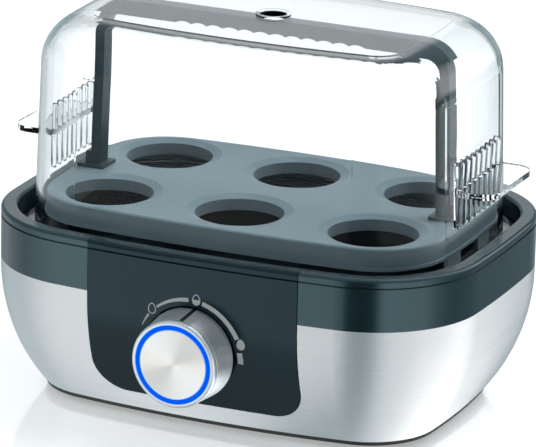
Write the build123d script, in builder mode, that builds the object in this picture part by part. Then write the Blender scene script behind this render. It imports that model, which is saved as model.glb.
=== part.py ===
from build123d import *
import os
from math import asin, cos, sin, sqrt

# Electric egg cooker for six eggs, sizes in millimetres.
# Frame: X runs along the long front, the front faces -Y, Z is up, and the origin
# lies on the table, in the middle under the housing.

# Housing plan and heights
body_length = 200.0
body_depth = 146.0
front_bow = 7.2  # how far the long sides bulge beyond their corners
end_bow = 3.6  # the same for the short ends
corner_radius = 45.0
rim_top = 75.0
steel_top = 54.3  # where the steel belly meets the black ring
steel_bottom = 4.0
belly_radius = 79.0  # the belly's side view is one arc
belly_straight = 2.0  # upright strip below the ring, above the arc
steel_thickness = 0.7
steel_turn_in = 5.0  # width of the rim folded inward under the belly

# Trim ring
ring_wall = 2.2
rim_width = 6.5  # top of the ring, from the outside to the well
rim_round = 1.4
bead_height = 3.0  # rounded bead along the top edge
groove_height = 0.8
groove_depth = 0.7
ledge_top = 65.0
ledge_thickness = 2.2
tongue_length = 4.0  # reaches down inside the steel
tongue_gap = 0.1

# Bowl and its seal
seal_thickness = 0.8
seal_width = 4.0
seal_border = 2.0  # from the flange's edge to the seal
bowl_sheet = 1.0
bowl_inset = 19.8  # inside wall of the bowl, measured from the housing's outline
bowl_corner = 42.0
bowl_straight = 9.0  # upright upper part of the bowl wall
bowl_floor_top = 45.0
bowl_taper = 24.0  # lean of the lower bowl wall, in degrees
bowl_floor_round = 5.0
bowl_lip_round = 0.9
bowl_flange_gap = 0.6  # flange to the ring's inner wall
bowl_ledge_gap = 0.5

# Control panel
panel_half_width = 43.9
panel_bottom = 12.6
panel_corner = 13.0
panel_thickness = 2.2
panel_proud = 0.25  # how far the panel stands in front of the steel
panel_gap = 0.25
panel_border = 3.0  # hidden edge behind the steel
panel_arm_x = 37.0
panel_arm_inset = 27.5  # from the front of the housing
panel_arm_width = 8.0
panel_arm_low = 15.0
panel_arm_height = 7.0
seat_inset = 2.4  # flat seat behind the knob, from the front
seat_radius = 17.8
seat_thickness = 2.2
recess_gap = 0.8  # round the knob, where it dips into the panel

# Knob and its switch
dial_z = 36.1
knob_stand_off = 1.8  # between the seat and the knob's rear edge
knob_length = 15.1
knob_radius = 18.4
knob_front_radius = 17.4
knob_lip = 2.2  # turned lip at the front of the sleeve
knob_lip_groove = 0.35
knob_lip_round = 1.3
light_outer_radius = 15.9
light_inner_radius = 13.6
knob_fit = 0.03
face_sink = 0.15  # disc and light ring below the sleeve's front
face_thickness = 0.8
core_set_back = 0.8  # core and light ring behind the sleeve's rear edge
core_web = 2.4
core_wall = 1.4
hub_radius = 5.4
clip_wall = 0.5
clip_length = 3.0
clip_slot = 2.0
pointer_angle = 83.0  # pointer at rest, from +X, seen from the front
pointer_width = 1.6
pointer_floor_radius = 17.1
spindle_radius = 3.0
spindle_run = 0.08  # radial running clearance of the spindle
spindle_flat = 0.7
spindle_flat_start = 3.6  # in front of the knob's rear edge
spindle_collar_radius = 4.2
spindle_collar = 0.8
plunger_radius = 4.6
plunger_length = 2.2
press_travel = 1.2
plunger_gap = 0.1
switch_size = 13.0
switch_depth = 5.8
switch_wall = 0.6
bushing_radius = 3.9
bushing_gap = 0.4
bushing_set_back = 0.3  # behind the seat's face

# Boards and what they carry
board_thickness = 1.6
board_inset = 12.0  # from the front of the housing
board_half_width = 30.0
board_low = 19.0
board_high = 52.0
board_corner = 2.0
board_screw_x = 26.0
board_screw_margin = 4.0
board_boss_radius = 3.0
led_count = 8
led_radius = 1.3
led_height = 2.8
pipe_radius = 1.1
pipe_gap = 0.1
guide_height = 1.4
guide_gap = 0.3
buzzer_radius = 6.0
buzzer_height = 5.5
buzzer_x = 18.0
buzzer_z = 38.0
chip_length = 10.0
chip_width = 7.0
chip_height = 1.6
chip_x = -16.0
power_board_length = 66.0
power_board_width = 34.0
power_board_x = -5.0
power_board_inset = 48.0  # its middle, from the back of the housing
power_board_z = 12.0
power_screw_margin = 4.0
relay_length = 19.0
relay_width = 15.0
relay_height = 15.0
relay_x = -20.0
capacitor_radius = 5.0
capacitor_height = 12.0
capacitor_x = 6.0
terminal_length = 26.0
terminal_width = 14.0
terminal_height = 12.0
terminal_inset = 40.0  # from the end of the housing
terminal_y = 8.0
terminal_count = 3

# Heating
spreader_inset = 42.0  # from the housing's outline
spreader_thickness = 3.0
spreader_corner = 18.0
tube_radius = 3.2
tube_inset_x = 16.0  # middle of the tube, from the spreader's edge
tube_inset_y = 11.0
tube_bend = 10.0
tube_tail_x = 9.0
tube_tail = 7.0  # cold ends of the tube, beyond the spreader
pin_radius = 1.1
pin_length = 8.0
strap_x = 24.0
strap_width = 8.0
strap_thickness = 1.2
strap_tab = 7.0
sensor_radius = 4.0
sensor_height = 6.0
sensor_flange_radius = 6.5
sensor_flange = 1.0
fuse_radius = 2.0
fuse_length = 11.0
fuse_y = 10.0
touch_gap = 0.05

# Base plate, standoffs and feet
plate_bottom = 2.2
plate_set_back = 0.9  # plate's edge, from the foot of the belly
plate_floor = 2.2
plate_rim_gap = 0.4  # raised rim to the steel's folded edge
plate_rim_top = 9.0
plate_rim_wall = 1.8
foot_border = 7.6  # feet, from the plate's edge
foot_width = 6.5
foot_sink = 0.8
foot_run_x = 56.0  # how far a foot follows each side
foot_run_y = 55.0
standoff_inset_x = 10.0  # from the spreader's edge
standoff_inset_y = 11.0
standoff_radius = 3.2
standoff_low = 12.0
plate_boss_radius = 4.6
arm_boss_radius = 3.6
screw_radius = 1.5
screw_gap = 0.05
screw_pass_gap = 0.25
screw_head_radius = 2.7
screw_head_height = 1.8
screw_bite = 8.0
screw_sink = 4.0  # depth of the counterbore from below
small_screw_radius = 1.1
small_head_radius = 2.2
small_head_height = 1.4
small_screw_bite = 5.0
vent_count = 7
vent_length = 26.0
vent_width = 2.4
vent_pitch = 6.0
vent_y = -16.0
gland_z = 22.0
gland_bore = 3.4
gland_radius = 5.6
gland_gap = 0.2
gland_flange_radius = 7.6
gland_flange = 1.6
gland_tip_radius = 4.6
gland_tail = 18.7
gland_nut_radius = 7.4
gland_nut = 3.0
gland_nut_gap = 0.45  # flat nut inside the hollow of the belly

# Egg rack
rack_inset_x = 16.6  # from the housing's outline
rack_inset_y = 19.5
rack_corner = 28.0
rack_bow_x = 2.6
rack_bow_y = 4.5
rack_top = 81.4
rack_sheet = 1.8
rack_skirt = 8.8
rack_skirt_wall = 1.6
rack_edge_round = 1.0
rack_lip = 0.6
rack_lip_height = 1.2
egg_inset_x = 27.4  # outer egg places, from the rack's edge
egg_inset_y = 26.0
egg_hole_radius = 17.4
egg_dish_radius = 21.0
egg_dish_depth = 1.2
egg_collar_wall = 1.4
egg_collar_height = 4.0
rack_leg_y = 15.0
rack_leg_length = 12.0
seat_clearance = 0.1  # rack legs and lid above the bowl's flange

# Rack handle
handle_inset = 5.0  # outer side of an upright at the tray, from the rack's edge
handle_lean = 2.3  # how far an upright comes in towards the top
handle_top = 149.6
handle_corner = 12.0
handle_section = 6.2
handle_width = 7.0
channel_depth = 2.2  # groove down the outside of the uprights
channel_wall = 1.7
grip_scallops = 12
grip_pitch = 6.7
grip_radius = 6.5
grip_depth = 0.9
handle_fit = 0.15
handle_pad_overhang = 2.4
handle_pad_height = 1.4
handle_tail = 5.0

# Lid
lid_top = 152.4
lid_inset = 12.5  # outer face of the lid at its foot, from the housing's outline
lid_draft = 1.9
lid_wall = 2.2
lid_shoulder = 20.0
lid_flange_reach = 2.3
lid_flange_height = 2.2
vent_radius = 5.4
vent_rim_width = 1.5
vent_rim_height = 0.9
wing_length = 14.8  # beyond the lid's foot
wing_half_width = 22.0
wing_top = 99.8
wing_thickness = 2.4
wing_corner = 7.0
rib_count = 9
rib_pitch = 5.0
rib_width = 2.6
rib_depth = 2.4
rib_round = 1.2
rib_top = 110.5
rib_bottom = 84.0

# Values that follow from the sizes above
bead_bottom = rim_top - bead_height
groove_bottom = bead_bottom - groove_height
arc_top = steel_top - belly_straight
ring_inner_wall = rim_width - ring_wall
ledge_bottom = ledge_top - ledge_thickness
seal_top = ledge_top + seal_thickness
flange_top = seal_top + bowl_sheet
flange_inset = rim_width + bowl_flange_gap
seal_inset = flange_inset + seal_border
bowl_bottom = bowl_floor_top - bowl_sheet
bowl_knee = flange_top - bowl_straight
belly_foot = belly_radius - sqrt(belly_radius**2 - (arc_top - steel_bottom) ** 2)
plate_inset = belly_foot + plate_set_back
plate_rim_inset = belly_foot + steel_turn_in + plate_rim_gap
foot_inset = plate_inset + foot_border
plate_floor_top = plate_bottom + plate_floor
spreader_bottom = bowl_bottom - spreader_thickness
spreader_length = body_length - 2 * spreader_inset
spreader_width = body_depth - 2 * spreader_inset
tube_half_length = spreader_length / 2 - tube_inset_x
tube_half_width = spreader_width / 2 - tube_inset_y
tube_tail_y = spreader_width / 2 + tube_tail
standoff_x = spreader_length / 2 - standoff_inset_x
standoff_y = spreader_width / 2 - standoff_inset_y
tube_z = spreader_bottom - touch_gap - tube_radius
light_radius = (light_outer_radius + light_inner_radius) / 2
seat_face_y = seat_inset - body_depth / 2
knob_back_y = seat_face_y - knob_stand_off
knob_front_y = knob_back_y - knob_length
spindle_flat_start_y = knob_back_y - spindle_flat_start
bushing_front_y = seat_face_y + bushing_set_back
board_front_y = board_inset - body_depth / 2
board_back_y = board_front_y + board_thickness
switch_front_y = board_front_y - switch_depth
cavity_front_y = switch_front_y + switch_wall
collar_back_y = cavity_front_y + plunger_gap + spindle_collar
plunger_front_y = collar_back_y + plunger_gap
plunger_back_y = plunger_front_y + plunger_length
cavity_back_y = plunger_back_y + press_travel + plunger_gap
hub_back_y = knob_back_y - core_set_back
core_front_y = knob_front_y + face_sink + face_thickness
web_back_y = core_front_y + core_web
panel_arm_y = panel_arm_inset - body_depth / 2
power_board_y = body_depth / 2 - power_board_inset
terminal_x = body_length / 2 - terminal_inset
foot_start_x = body_length / 2 - foot_run_x
foot_start_y = body_depth / 2 - foot_run_y
rack_half_length = body_length / 2 - rack_inset_x
rack_half_depth = body_depth / 2 - rack_inset_y
egg_pitch_x = rack_half_length - egg_inset_x
egg_row_y = rack_half_depth - egg_inset_y
handle_foot_x = rack_half_length - handle_inset
handle_top_x = handle_foot_x - handle_lean
channel_top = handle_top - handle_corner / 2
lid_foot = flange_top + seat_clearance
wing_reach = body_length / 2 - lid_inset + wing_length
rack_foot = flange_top + seat_clearance
skirt_bottom = rack_top - rack_skirt
guide_back_y = board_front_y - led_height - guide_gap
power_board_top = power_board_z + board_thickness
lip_y = knob_front_y + knob_lip
mouth_limit_x = body_length / 2 - bowl_inset + bowl_lip_round
mouth_limit_y = body_depth / 2 - bowl_inset + bowl_lip_round
strap_outer_y = tube_half_width + tube_radius + 2 * strap_thickness
strap_low = tube_z - tube_radius - strap_thickness
handle_foot_middle = handle_foot_x - handle_section / 2
lid_rib_root = body_length / 2 - lid_inset - lid_wall
lid_rib_edge = body_length / 2 - lid_inset + rib_depth - lid_wall / 2
belly_levels = [11.0, 19.0, 28.0, 39.0]
dial_axis = Axis((0, 0, dial_z), (0, 1, 0))


def belly_inset(height):
    """How far the belly's arc has come in from the ring's outline at a height."""
    drop = max(arc_top - height, 0)
    return belly_radius - sqrt(belly_radius**2 - drop**2)


def rounded_plan(height, half_length, half_depth, corner, bow_x, bow_y):
    """Rounded rectangle with slightly bulging sides, at a height."""
    corner_x = half_length - bow_x
    corner_y = half_depth - bow_y
    with BuildSketch(Plane.XY.offset(height)) as plan:
        with BuildLine():
            ThreePointArc((-corner_x, -corner_y), (0, -half_depth), (corner_x, -corner_y))
            ThreePointArc((corner_x, -corner_y), (half_length, 0), (corner_x, corner_y))
            ThreePointArc((corner_x, corner_y), (0, half_depth), (-corner_x, corner_y))
            ThreePointArc((-corner_x, corner_y), (-half_length, 0), (-corner_x, -corner_y))
        make_face()
        fillet(plan.vertices(), corner)
    return plan.sketch


def body_plan(height, inset):
    """The housing's outline, moved inward by an inset."""
    half_length = body_length / 2 - inset
    half_depth = body_depth / 2 - inset
    return rounded_plan(height, half_length, half_depth, corner_radius - inset, end_bow, front_bow)


def bowl_plan(height, inset):
    """The bowl's inside outline, moved inward by an inset."""
    half_length = body_length / 2 - bowl_inset - inset
    half_depth = body_depth / 2 - bowl_inset - inset
    return rounded_plan(height, half_length, half_depth, bowl_corner - inset, end_bow, front_bow)


def rack_plan(height, inset):
    """The rack's outline, moved inward by an inset."""
    return rounded_plan(
        height,
        rack_half_length - inset,
        rack_half_depth - inset,
        rack_corner - inset,
        rack_bow_x,
        rack_bow_y,
    )


def body_block(inset, low, top):
    """The housing's outer form between two heights, moved inward by an inset."""
    levels = [low] + [level for level in belly_levels if low + 1 < level < top - 1]
    levels.append(min(top, arc_top))
    with BuildPart() as block:
        loft([body_plan(level, belly_inset(level) + inset) for level in levels])
        if top > arc_top:
            extrude(body_plan(arc_top, inset), amount=top - arc_top)
    return block.part


def panel_outline(grow, top):
    """The panel's outline seen from the front, grown all round, up to a height."""
    low = panel_bottom - grow
    with BuildSketch(Plane.XZ) as outline:
        with Locations((0, (low + top) / 2)):
            Rectangle(2 * (panel_half_width + grow), top - low)
        fillet(outline.vertices().group_by(Axis.Y)[0], panel_corner + grow)
    return outline.sketch


def front_circle(y, radius, x=0.0, z=dial_z):
    """A circle facing the front, at a depth; extruding it goes towards the front."""
    with BuildSketch(Plane.XZ.offset(-y)) as circle:
        with Locations((x, z)):
            Circle(radius)
    return circle.sketch


def light_circles(y, radius):
    """The ring of small circles behind the knob's light ring."""
    with BuildSketch(Plane.XZ.offset(-y)) as circles:
        with Locations((0, dial_z)):
            with PolarLocations(light_radius, led_count):
                Circle(radius)
    return circles.sketch


def flat_circle(height, radius, places):
    """Equal circles lying flat at a height."""
    with BuildSketch(Plane.XY.offset(height)) as circles:
        with Locations(*places):
            Circle(radius)
    return circles.sketch


def flat_box(height, center, length, width):
    """A rectangle lying flat at a height."""
    with BuildSketch(Plane.XY.offset(height)) as box:
        with Locations(center):
            Rectangle(length, width)
    return box.sketch


def band(height, plan, outer, inner):
    """A closed strip between two insets of a plan, at a height."""
    with BuildSketch(Plane.XY.offset(height)) as strip:
        add(plan(0, outer))
        add(plan(0, inner), mode=Mode.SUBTRACT)
    return strip.sketch


def foot_outline(height):
    """The four feet: the corners of a strip that follows the housing's outline."""
    with BuildSketch(Plane.XY.offset(height)) as feet:
        add(band(0, body_plan, foot_inset, foot_inset + foot_width))
        Rectangle(2 * foot_start_x, body_depth, mode=Mode.SUBTRACT)
        Rectangle(body_length, 2 * foot_start_y, mode=Mode.SUBTRACT)
    return feet.sketch


def flatted_circle(y, radius):
    """The spindle's D-shaped end, facing the front, at a depth."""
    with BuildSketch(Plane.XZ.offset(-y)) as section:
        with Locations((0, dial_z)):
            Circle(radius)
        with Locations((0, dial_z - spindle_flat)):
            Rectangle(2 * radius, 2 * radius, mode=Mode.INTERSECT)
    return section.sketch


def bowl_mouth_edges(bowl):
    """The edges where the bowl's flange turns down into its wall."""
    top = bowl.edges().group_by(Axis.Z)[-1]
    return top.filter_by(lambda edge: on_bowl_mouth(edge.center()))


def on_bowl_mouth(point):
    return abs(point.X) < mouth_limit_x and abs(point.Y) < mouth_limit_y


def handle_outline(inset, low):
    """The arch seen from the front, moved inward by an inset, down to a height."""
    lean = handle_lean / (handle_top - rack_top)
    top = handle_top - inset
    low_x = handle_top_x - inset + lean * (handle_top - low)
    top_x = handle_top_x - inset + lean * inset
    with BuildSketch(Plane.XZ) as arch:
        with BuildLine():
            Polyline((-low_x, low), (-top_x, top), (top_x, top), (low_x, low), close=True)
        make_face()
        fillet(arch.vertices().group_by(Axis.Y)[-1], max(handle_corner - inset, handle_fit))
    return arch.sketch


def dial_profile(points):
    """A closed profile of (radius, depth) points beside the dial's axis."""
    with BuildSketch(Plane.XY.offset(dial_z)) as profile:
        with BuildLine():
            Polyline(*points, close=True)
        make_face()
    return profile.sketch


def four_corners(x, y):
    return [(x, y), (-x, y), (-x, -y), (x, -y)]


board_screw_places = [
    (side * board_screw_x, z)
    for side in (-1, 1)
    for z in (board_low + board_screw_margin, board_high - board_screw_margin)
]
power_screw_places = [
    (power_board_x + x, power_board_y + y)
    for x, y in four_corners(
        power_board_length / 2 - power_screw_margin, power_board_width / 2 - power_screw_margin
    )
]
standoff_places = four_corners(standoff_x, standoff_y)
arm_places = [(-panel_arm_x, panel_arm_y), (panel_arm_x, panel_arm_y)]

strap_screw_places = four_corners(strap_x, strap_outer_y + strap_tab / 2)
strap_screw_bite = spreader_thickness - 2 * screw_gap
terminal_places = [
    (terminal_x, terminal_y + (index - (terminal_count - 1) / 2) * terminal_length / terminal_count)
    for index in range(terminal_count)
]
egg_places = [(x * egg_pitch_x, y * egg_row_y) for x in (-1, 0, 1) for y in (-1, 1)]

# Side view of a strap: tabs against the spreader, legs down, bar under the two tube runs
strap_line = [
    (strap_outer_y + strap_tab, spreader_bottom),
    (strap_outer_y + strap_tab, spreader_bottom - strap_thickness),
    (strap_outer_y, spreader_bottom - strap_thickness),
    (strap_outer_y, strap_low),
    (-strap_outer_y, strap_low),
    (-strap_outer_y, spreader_bottom - strap_thickness),
    (-strap_outer_y - strap_tab, spreader_bottom - strap_thickness),
    (-strap_outer_y - strap_tab, spreader_bottom),
    (-strap_outer_y + strap_thickness, spreader_bottom),
    (-strap_outer_y + strap_thickness, strap_low + strap_thickness),
    (strap_outer_y - strap_thickness, strap_low + strap_thickness),
    (strap_outer_y - strap_thickness, spreader_bottom),
]

# Cord gland's seat: square to the belly at the back
gland_lean = asin((arc_top - gland_z) / belly_radius)
gland_y = body_depth / 2 - belly_inset(gland_z)
gland_plane = Plane(
    origin=(0, gland_y, gland_z), x_dir=(1, 0, 0), z_dir=(0, cos(gland_lean), -sin(gland_lean))
)

# Steel shell: one drawn sheet with a window for the panel
with BuildPart() as steel_shell:
    add(body_block(0, steel_bottom, steel_top))
    add(
        body_block(steel_thickness, steel_bottom + steel_thickness, steel_top),
        mode=Mode.SUBTRACT,
    )
    extrude(
        body_plan(steel_bottom, belly_inset(steel_bottom) + steel_turn_in),
        amount=2 * steel_thickness,
        mode=Mode.SUBTRACT,
    )
    extrude(panel_outline(panel_gap, rim_top), amount=body_depth, mode=Mode.SUBTRACT)
    with BuildSketch(gland_plane.offset(-2 * gland_nut)) as gland_hole:
        Circle(gland_radius + gland_gap)
    extrude(amount=4 * gland_nut, mode=Mode.SUBTRACT)

# Trim ring: outer wall, deck, inner wall and the ledge under the bowl
with BuildPart() as ring_form:
    extrude(body_plan(steel_top, 0), amount=rim_top - steel_top)
    extrude(body_plan(steel_top - tongue_length, steel_thickness + tongue_gap), amount=tongue_length)
    extrude(
        body_plan(steel_top - tongue_length, ring_wall),
        amount=rim_top - ring_wall - steel_top + tongue_length,
        mode=Mode.SUBTRACT,
    )
    extrude(body_plan(ledge_bottom, ring_inner_wall), amount=rim_top - ledge_bottom)
    extrude(body_plan(ledge_top, rim_width), amount=rim_top - ledge_top, mode=Mode.SUBTRACT)
    extrude(
        bowl_plan(ledge_bottom, -bowl_sheet - bowl_ledge_gap),
        amount=ledge_thickness,
        mode=Mode.SUBTRACT,
    )
    fillet(ring_form.edges().group_by(Axis.Z)[-1], rim_round)
    extrude(band(groove_bottom, body_plan, -groove_depth, groove_depth), amount=groove_height,
            mode=Mode.SUBTRACT)
    with BuildSketch(Plane.XZ) as window:
        with Locations((0, rim_top)):
            Rectangle(2 * (panel_half_width + panel_gap), 2 * rim_top)
    with BuildSketch(Plane.XY.offset(steel_top - 2 * tongue_length)) as window_depth:
        add(body_plan(0, -1))
        add(body_plan(0, ring_wall + panel_gap), mode=Mode.SUBTRACT)

with BuildPart() as panel_window:
    extrude(window.sketch, amount=body_depth)
    extrude(window_depth.sketch, amount=rim_top, mode=Mode.INTERSECT)

with BuildPart() as trim_ring:
    add(ring_form.part)
    add(panel_window.part, mode=Mode.SUBTRACT)

# Control panel: follows the housing's front, with a flat seat for the knob
with BuildPart() as panel_rear_form:
    extrude(
        front_circle(seat_face_y + seat_thickness, seat_radius + 2 * recess_gap + panel_thickness),
        amount=seat_thickness,
    )
    for x, z in board_screw_places:
        extrude(front_circle(board_front_y, board_boss_radius, x, z), amount=body_depth / 4)
    for x, y in arm_places:
        with BuildSketch(Plane.XY.offset(panel_arm_low)) as arm:
            with Locations((x, y - body_depth / 4 + arm_boss_radius)):
                Rectangle(panel_arm_width, body_depth / 2)
        extrude(amount=panel_arm_height)
    add(body_block(panel_thickness / 2, steel_bottom, groove_bottom), mode=Mode.INTERSECT)

with BuildPart() as panel_edge:
    add(body_block(steel_thickness + tongue_gap, steel_bottom, steel_top - tongue_length))
    add(body_block(panel_thickness, steel_bottom, steel_top), mode=Mode.SUBTRACT)
    extrude(
        panel_outline(panel_border, steel_top - tongue_length),
        amount=body_depth,
        mode=Mode.INTERSECT,
    )

with BuildPart() as panel_front:
    add(body_block(-panel_proud, steel_bottom, rim_top))
    fillet(panel_front.edges().group_by(Axis.Z)[-1], rim_round + panel_proud)
    extrude(band(groove_bottom, body_plan, -groove_depth, groove_depth), amount=groove_height,
            mode=Mode.SUBTRACT)
    add(body_block(panel_thickness, steel_bottom, rim_top), mode=Mode.SUBTRACT)
    extrude(panel_outline(0, rim_top), amount=body_depth, mode=Mode.INTERSECT)

with BuildPart() as control_panel:
    add(panel_front.part)
    add(panel_edge.part)
    add(panel_rear_form.part)
    extrude(front_circle(board_front_y - guide_height - led_height, seat_radius),
            amount=board_front_y - guide_height - led_height - seat_face_y)
    extrude(front_circle(seat_face_y, knob_radius + recess_gap), amount=body_depth / 4,
            mode=Mode.SUBTRACT)
    extrude(
        front_circle(seat_face_y + seat_thickness, light_outer_radius + guide_gap),
        amount=-body_depth / 8,
        mode=Mode.SUBTRACT,
    )
    extrude(front_circle(board_front_y, bushing_radius + bushing_gap), amount=body_depth / 4,
            mode=Mode.SUBTRACT)
    extrude(light_circles(board_front_y, pipe_radius + pipe_gap), amount=body_depth / 4,
            mode=Mode.SUBTRACT)
    for x, z in board_screw_places:
        extrude(front_circle(board_front_y, small_screw_radius + screw_gap, x, z),
                amount=small_screw_bite, mode=Mode.SUBTRACT)
    extrude(flat_circle(panel_arm_low, small_screw_radius + screw_gap, arm_places),
            amount=small_screw_bite, mode=Mode.SUBTRACT)

# Base plate with bosses, vents and pads for the feet
with BuildPart() as base_plate:
    extrude(body_plan(plate_bottom, plate_inset), amount=steel_bottom - plate_bottom)
    extrude(body_plan(plate_bottom, plate_rim_inset), amount=plate_rim_top - plate_bottom)
    extrude(
        body_plan(plate_floor_top, plate_rim_inset + plate_rim_wall),
        amount=plate_rim_top,
        mode=Mode.SUBTRACT,
    )
    extrude(flat_circle(plate_bottom, plate_boss_radius, standoff_places),
            amount=standoff_low - plate_bottom)
    extrude(flat_circle(plate_bottom, arm_boss_radius, arm_places),
            amount=panel_arm_low - plate_bottom)
    extrude(flat_circle(plate_bottom, board_boss_radius, power_screw_places),
            amount=power_board_z - plate_bottom)
    extrude(flat_circle(plate_bottom, screw_head_radius + screw_pass_gap, standoff_places),
            amount=screw_sink, mode=Mode.SUBTRACT)
    extrude(flat_circle(plate_bottom, screw_radius + screw_pass_gap, standoff_places),
            amount=standoff_low, mode=Mode.SUBTRACT)
    extrude(flat_circle(plate_bottom, small_head_radius + screw_pass_gap, arm_places),
            amount=panel_arm_low - plate_bottom - small_screw_bite, mode=Mode.SUBTRACT)
    extrude(flat_circle(plate_bottom, small_screw_radius + screw_pass_gap, arm_places),
            amount=panel_arm_low, mode=Mode.SUBTRACT)
    extrude(flat_circle(power_board_z, small_screw_radius + screw_gap, power_screw_places),
            amount=-small_screw_bite, mode=Mode.SUBTRACT)
    with BuildSketch(Plane.XY.offset(plate_bottom)):
        with Locations((0, vent_y)):
            with GridLocations(vent_pitch, 1, vent_count, 1):
                SlotOverall(vent_length, vent_width, rotation=90)
    extrude(amount=plate_floor, mode=Mode.SUBTRACT)
    extrude(foot_outline(plate_bottom), amount=foot_sink, mode=Mode.SUBTRACT)

with BuildPart() as rubber_feet:
    extrude(foot_outline(0), amount=plate_bottom + foot_sink)

# Heating bowl: flange on the ring's ledge, upright wall, then a leaning wall to the floor
with BuildPart() as bowl_inside:
    extrude(bowl_plan(flange_top, 0), amount=-bowl_straight)
    extrude(bowl_plan(bowl_knee, 0), amount=bowl_floor_top - bowl_knee, taper=bowl_taper)
    fillet(bowl_inside.edges().group_by(Axis.Z)[0], bowl_floor_round)

with BuildPart() as heating_bowl:
    extrude(bowl_plan(seal_top, -bowl_sheet), amount=bowl_knee - seal_top)
    extrude(bowl_plan(bowl_knee, -bowl_sheet), amount=bowl_bottom - bowl_knee, taper=bowl_taper)
    fillet(heating_bowl.edges().group_by(Axis.Z)[0], bowl_floor_round + bowl_sheet)
    extrude(body_plan(seal_top, flange_inset), amount=bowl_sheet)
    add(bowl_inside.part, mode=Mode.SUBTRACT)
    fillet(bowl_mouth_edges(heating_bowl), bowl_lip_round)

with BuildPart() as bowl_seal:
    extrude(band(ledge_top, body_plan, seal_inset, seal_inset + seal_width), amount=seal_thickness)

# Heat spreader with the tubular element strapped under it
with BuildPart() as heat_spreader:
    with BuildSketch(Plane.XY.offset(spreader_bottom)):
        RectangleRounded(spreader_length, spreader_width, spreader_corner)
    extrude(amount=spreader_thickness)
    extrude(flat_circle(spreader_bottom, screw_radius + screw_gap, strap_screw_places),
            amount=strap_screw_bite, mode=Mode.SUBTRACT)

with BuildPart() as heating_element:
    with BuildLine() as tube_path:
        FilletPolyline(
            (-tube_tail_x, tube_tail_y, tube_z),
            (-tube_tail_x, tube_half_width, tube_z),
            (-tube_half_length, tube_half_width, tube_z),
            (-tube_half_length, -tube_half_width, tube_z),
            (tube_half_length, -tube_half_width, tube_z),
            (tube_half_length, tube_half_width, tube_z),
            (tube_tail_x, tube_half_width, tube_z),
            (tube_tail_x, tube_tail_y, tube_z),
            radius=tube_bend,
        )
    with BuildSketch(Plane.XZ.offset(-tube_tail_y)):
        with Locations((-tube_tail_x, tube_z)):
            Circle(tube_radius)
    sweep(path=tube_path.line)

with BuildPart() as element_pins:
    for x in (-tube_tail_x, tube_tail_x):
        extrude(front_circle(tube_tail_y, pin_radius, x, tube_z), amount=-pin_length)

with BuildPart() as element_straps:
    for x in (-strap_x, strap_x):
        with BuildSketch(Plane.YZ.offset(x - strap_width / 2)):
            with BuildLine():
                Polyline(*strap_line, close=True)
            make_face()
        extrude(amount=strap_width)
    extrude(flat_circle(spreader_bottom, screw_radius + screw_pass_gap, strap_screw_places),
            amount=-2 * strap_thickness, mode=Mode.SUBTRACT)

with BuildPart() as strap_screws:
    extrude(flat_circle(spreader_bottom - strap_thickness, screw_head_radius, strap_screw_places),
            amount=-screw_head_height)
    extrude(flat_circle(spreader_bottom - strap_thickness, screw_radius, strap_screw_places),
            amount=strap_thickness + strap_screw_bite - screw_gap)

with BuildPart() as temperature_sensor:
    extrude(flat_circle(spreader_bottom, sensor_flange_radius, [(0, 0)]), amount=-sensor_flange)
    extrude(flat_circle(spreader_bottom, sensor_radius, [(0, 0)]), amount=-sensor_height)
    chamfer(temperature_sensor.edges().group_by(Axis.Z)[0], sensor_flange / 2)

with BuildPart() as thermal_fuse:
    with BuildSketch(Plane.YZ.offset(-fuse_length / 2)):
        with Locations((fuse_y, spreader_bottom - fuse_radius)):
            Circle(fuse_radius)
    extrude(amount=fuse_length)
    chamfer(thermal_fuse.edges().filter_by(GeomType.CIRCLE), fuse_radius / 4)

with BuildPart() as standoffs:
    extrude(flat_circle(standoff_low, standoff_radius, standoff_places),
            amount=spreader_bottom - standoff_low)
    extrude(flat_circle(standoff_low, screw_radius + screw_gap, standoff_places),
            amount=screw_bite, mode=Mode.SUBTRACT)

with BuildPart() as base_screws:
    extrude(flat_circle(plate_bottom + screw_sink, screw_head_radius, standoff_places),
            amount=-screw_head_height)
    extrude(flat_circle(plate_bottom + screw_sink, screw_radius, standoff_places),
            amount=standoff_low + screw_bite - screw_gap - plate_bottom - screw_sink)

with BuildPart() as panel_screws:
    extrude(flat_circle(panel_arm_low - small_screw_bite, small_head_radius, arm_places),
            amount=-small_head_height)
    extrude(flat_circle(panel_arm_low - small_screw_bite, small_screw_radius, arm_places),
            amount=2 * small_screw_bite - screw_gap)

# Electronics: the board behind the dial and the supply board on the base plate
with BuildPart() as control_board:
    with BuildSketch(Plane.XZ.offset(-board_back_y)):
        with Locations((0, (board_low + board_high) / 2)):
            RectangleRounded(2 * board_half_width, board_high - board_low, board_corner)
    extrude(amount=board_thickness)
    for x, z in board_screw_places:
        extrude(front_circle(board_back_y, small_screw_radius + screw_pass_gap, x, z),
                amount=board_thickness, mode=Mode.SUBTRACT)

with BuildPart() as dial_switch:
    with BuildSketch(Plane.XZ.offset(-board_front_y)):
        with Locations((0, dial_z)):
            Rectangle(switch_size, switch_size)
    extrude(amount=switch_depth)
    extrude(front_circle(board_front_y, bushing_radius), amount=board_front_y - bushing_front_y)
    extrude(front_circle(cavity_back_y, plunger_radius + plunger_gap),
            amount=cavity_back_y - cavity_front_y, mode=Mode.SUBTRACT)
    extrude(front_circle(cavity_back_y, spindle_radius + spindle_run),
            amount=cavity_back_y - bushing_front_y, mode=Mode.SUBTRACT)

with BuildPart() as switch_plunger:
    extrude(front_circle(plunger_back_y, plunger_radius), amount=plunger_length)
    extrude(front_circle(plunger_back_y, spindle_radius + spindle_run), amount=plunger_length,
            mode=Mode.SUBTRACT)

with BuildPart() as status_leds:
    extrude(light_circles(board_front_y, led_radius), amount=led_height)
    fillet(status_leds.edges().group_by(Axis.Y)[0], led_radius / 2)

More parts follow.
